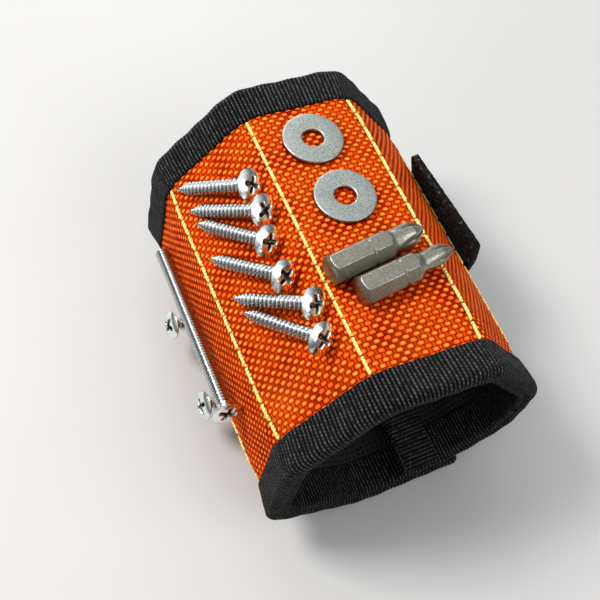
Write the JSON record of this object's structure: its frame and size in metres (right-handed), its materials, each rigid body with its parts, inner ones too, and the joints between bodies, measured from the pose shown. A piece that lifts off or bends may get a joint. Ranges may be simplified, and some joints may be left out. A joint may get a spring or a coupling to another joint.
{
  "type": "magnetic wrist pin cushion",
  "caption": "Padded fabric wristband with stitched magnet pockets, wrapped round and closed by a hook tab, holding small screws, washers and driver bits on its outside.",
  "frame": {"origin": "middle of the wrist opening, half way along the band's width", "axes": "+Y along the forearm through the opening, +Z out of the back of the wrist, +X towards the closure tab"},
  "size_m": [0.0778, 0.091, 0.0671],
  "materials": {
    "orange_nylon": "coarse plain-woven nylon",
    "padding": "black mesh over foam",
    "black_tape": "ribbed woven tape",
    "loop_pile": "brushed loop pile",
    "black_webbing": "woven webbing",
    "hook_tape": "moulded hooks",
    "yellow_thread": "twisted thread",
    "magnet": "nickel plated",
    "zinc_screw": "bright zinc plated",
    "zinc_washer": "satin zinc plated",
    "bit_steel": "satin tool steel"
  },
  "bodies": {
    "pocket_1": {"binding_1": "black_tape", "cover_1": "orange_nylon", "lining_1": "padding", "magnets_1": "magnet", "stitch_row_1": "yellow_thread"},
    "pocket_2": {"binding_2": "black_tape", "cover_2": "orange_nylon", "lining_2": "padding", "magnets_2": "magnet", "stitch_row_2": "yellow_thread", "stitch_row_3": "yellow_thread"},
    "pocket_3": {"binding_3": "black_tape", "cover_3": "orange_nylon", "lining_3": "padding", "magnets_3": "magnet", "stitch_row_4": "yellow_thread"},
    "pocket_4": {"binding_4": "black_tape", "cover_4": "orange_nylon", "lining_4": "padding", "magnets_4": "magnet", "stitch_row_5": "yellow_thread"},
    "pocket_5": {"binding_5": "black_tape", "cover_5": "orange_nylon", "lining_5": "padding", "magnets_5": "magnet", "stitch_row_6": "yellow_thread"},
    "pocket_6": {"binding_6": "black_tape", "cover_6": "orange_nylon", "lining_6": "padding"},
    "underlap_1": {"loop_pile_1": "loop_pile", "underlap_backing_1": "padding", "underlap_binding_1": "black_tape"},
    "underlap_2": {"loop_pile_2": "loop_pile", "underlap_backing_2": "padding", "underlap_binding_2": "black_tape"},
    "underlap_3": {"loop_pile_3": "loop_pile", "underlap_backing_3": "padding", "underlap_binding_3": "black_tape"},
    "tab_base": {"tab_hook_base": "hook_tape", "tab_webbing_base": "black_webbing"},
    "tab_mid": {"tab_hook_mid": "hook_tape", "tab_webbing_mid": "black_webbing"},
    "tab_tip": {"tab_webbing_tip": "black_webbing"},
    "wood_screw_1": {"wood_screw_1": "zinc_screw"},
    "wood_screw_2": {"wood_screw_2": "zinc_screw"},
    "wood_screw_3": {"wood_screw_3": "zinc_screw"},
    "wood_screw_4": {"wood_screw_4": "zinc_screw"},
    "wood_screw_5": {"wood_screw_5": "zinc_screw"},
    "wood_screw_6": {"wood_screw_6": "zinc_screw"},
    "wood_screw_7": {"wood_screw_7": "zinc_screw"},
    "wood_screw_8": {"wood_screw_8": "zinc_screw"},
    "machine_screw": {"machine_screw": "zinc_screw"},
    "washer_1": {"washer_1": "zinc_washer"},
    "washer_2": {"washer_2": "zinc_washer"},
    "driver_bit_1": {"driver_bit_1": "bit_steel"},
    "driver_bit_2": {"driver_bit_2": "bit_steel"}
  },
  "joints": [
    {"name": "band_unwrap", "type": "hinge", "parent": "pocket_2", "child": "pocket_3", "pos_m": [-0.00728, 0, 0.02997], "axis": [0, 1, 0], "range_deg": [0, 48]},
    {"name": "unwrap_pocket_4", "type": "hinge", "parent": "pocket_3", "child": "pocket_4", "pos_m": [-0.02904, 0, 0.01235], "axis": [0, 1, 0], "range_deg": [0, 40]},
    {"name": "unwrap_pocket_5", "type": "hinge", "parent": "pocket_4", "child": "pocket_5", "pos_m": [-0.03438, 0, -0.01513], "axis": [0, 1, 0], "range_deg": [0, 69]},
    {"name": "unwrap_pocket_6", "type": "hinge", "parent": "pocket_5", "child": "pocket_6", "pos_m": [-0.01063, 0, -0.02997], "axis": [0, 1, 0], "range_deg": [0, 32]},
    {"name": "unwrap_tab_base", "type": "hinge", "parent": "pocket_6", "child": "tab_base", "pos_m": [0.01737, 0, -0.02997], "axis": [0, 1, 0], "range_deg": [0, 40.34]},
    {"name": "unwrap_tab_mid", "type": "hinge", "parent": "tab_base", "child": "tab_mid", "pos_m": [0.03255, 0, -0.01708], "axis": [0, 1, 0], "range_deg": [0, 35.59]},
    {"name": "tab_peel", "type": "hinge", "parent": "tab_mid", "child": "tab_tip", "pos_m": [0.03704, 0, 0.00087], "axis": [0, 1, 0], "range_deg": [0, 80]},
    {"name": "unwrap_pocket_1", "type": "hinge", "parent": "pocket_2", "child": "pocket_1", "pos_m": [0.02038, 0, 0.02559], "axis": [0, -1, 0], "range_deg": [0, 51]},
    {"name": "unwrap_underlap_1", "type": "hinge", "parent": "pocket_1", "child": "underlap_1", "pos_m": [0.03438, 0, 0.00134], "axis": [0, -1, 0], "range_deg": [0, 44.06]},
    {"name": "unwrap_underlap_2", "type": "hinge", "parent": "underlap_1", "child": "underlap_2", "pos_m": [0.03019, 0, -0.01536], "axis": [0, -1, 0], "range_deg": [0, 44]},
    {"name": "unwrap_underlap_3", "type": "hinge", "parent": "underlap_2", "child": "underlap_3", "pos_m": [0.01558, 0, -0.02447], "axis": [0, -1, 0], "range_deg": [0, 31.94]},
    {"name": "wood_screw_1_lift", "type": "slide", "parent": "pocket_3", "child": "wood_screw_1", "axis": [-0.6293, 0, 0.7771], "range_m": [0, 0.04]},
    {"name": "wood_screw_2_lift", "type": "slide", "parent": "pocket_3", "child": "wood_screw_2", "axis": [-0.6293, 0, 0.7771], "range_m": [0, 0.04]},
    {"name": "wood_screw_3_lift", "type": "slide", "parent": "pocket_3", "child": "wood_screw_3", "axis": [-0.6293, 0, 0.7771], "range_m": [0, 0.04]},
    {"name": "wood_screw_4_lift", "type": "slide", "parent": "pocket_3", "child": "wood_screw_4", "axis": [-0.6293, 0, 0.7771], "range_m": [0, 0.04]},
    {"name": "wood_screw_5_lift", "type": "slide", "parent": "pocket_3", "child": "wood_screw_5", "axis": [-0.6293, 0, 0.7771], "range_m": [0, 0.04]},
    {"name": "wood_screw_6_lift", "type": "slide", "parent": "pocket_3", "child": "wood_screw_6", "axis": [-0.6293, 0, 0.7771], "range_m": [0, 0.04]},
    {"name": "wood_screw_7_lift", "type": "slide", "parent": "pocket_5", "child": "wood_screw_7", "axis": [-0.5299, 0, -0.848], "range_m": [0, 0.04]},
    {"name": "wood_screw_8_lift", "type": "slide", "parent": "pocket_5", "child": "wood_screw_8", "axis": [-0.5299, 0, -0.848], "range_m": [0, 0.04]},
    {"name": "machine_screw_lift", "type": "slide", "parent": "pocket_4", "child": "machine_screw", "axis": [-0.9816, 0, 0.1908], "range_m": [0, 0.04]},
    {"name": "washer_1_lift", "type": "slide", "parent": "pocket_2", "child": "washer_1", "axis": [0.1564, 0, 0.9877], "range_m": [0, 0.04]},
    {"name": "washer_2_lift", "type": "slide", "parent": "pocket_2", "child": "washer_2", "axis": [0.1564, 0, 0.9877], "range_m": [0, 0.04]},
    {"name": "driver_bit_1_lift", "type": "slide", "parent": "pocket_2", "child": "driver_bit_1", "axis": [0.1564, 0, 0.9877], "range_m": [0, 0.04]},
    {"name": "driver_bit_2_lift", "type": "slide", "parent": "pocket_2", "child": "driver_bit_2", "axis": [0.1564, 0, 0.9877], "range_m": [0, 0.04]}
  ],
  "couplings": [
    {"joint": "unwrap_pocket_4", "follows": "band_unwrap", "ratio": 0.83333},
    {"joint": "unwrap_pocket_5", "follows": "band_unwrap", "ratio": 1.4375},
    {"joint": "unwrap_pocket_6", "follows": "band_unwrap", "ratio": 0.66667},
    {"joint": "unwrap_tab_base", "follows": "band_unwrap", "ratio": 0.84052},
    {"joint": "unwrap_tab_mid", "follows": "band_unwrap", "ratio": 0.74149},
    {"joint": "unwrap_pocket_1", "follows": "band_unwrap", "ratio": 1.0625},
    {"joint": "unwrap_underlap_1", "follows": "band_unwrap", "ratio": 0.91799},
    {"joint": "unwrap_underlap_2", "follows": "band_unwrap", "ratio": 0.91667},
    {"joint": "unwrap_underlap_3", "follows": "band_unwrap", "ratio": 0.66534}
  ]
}
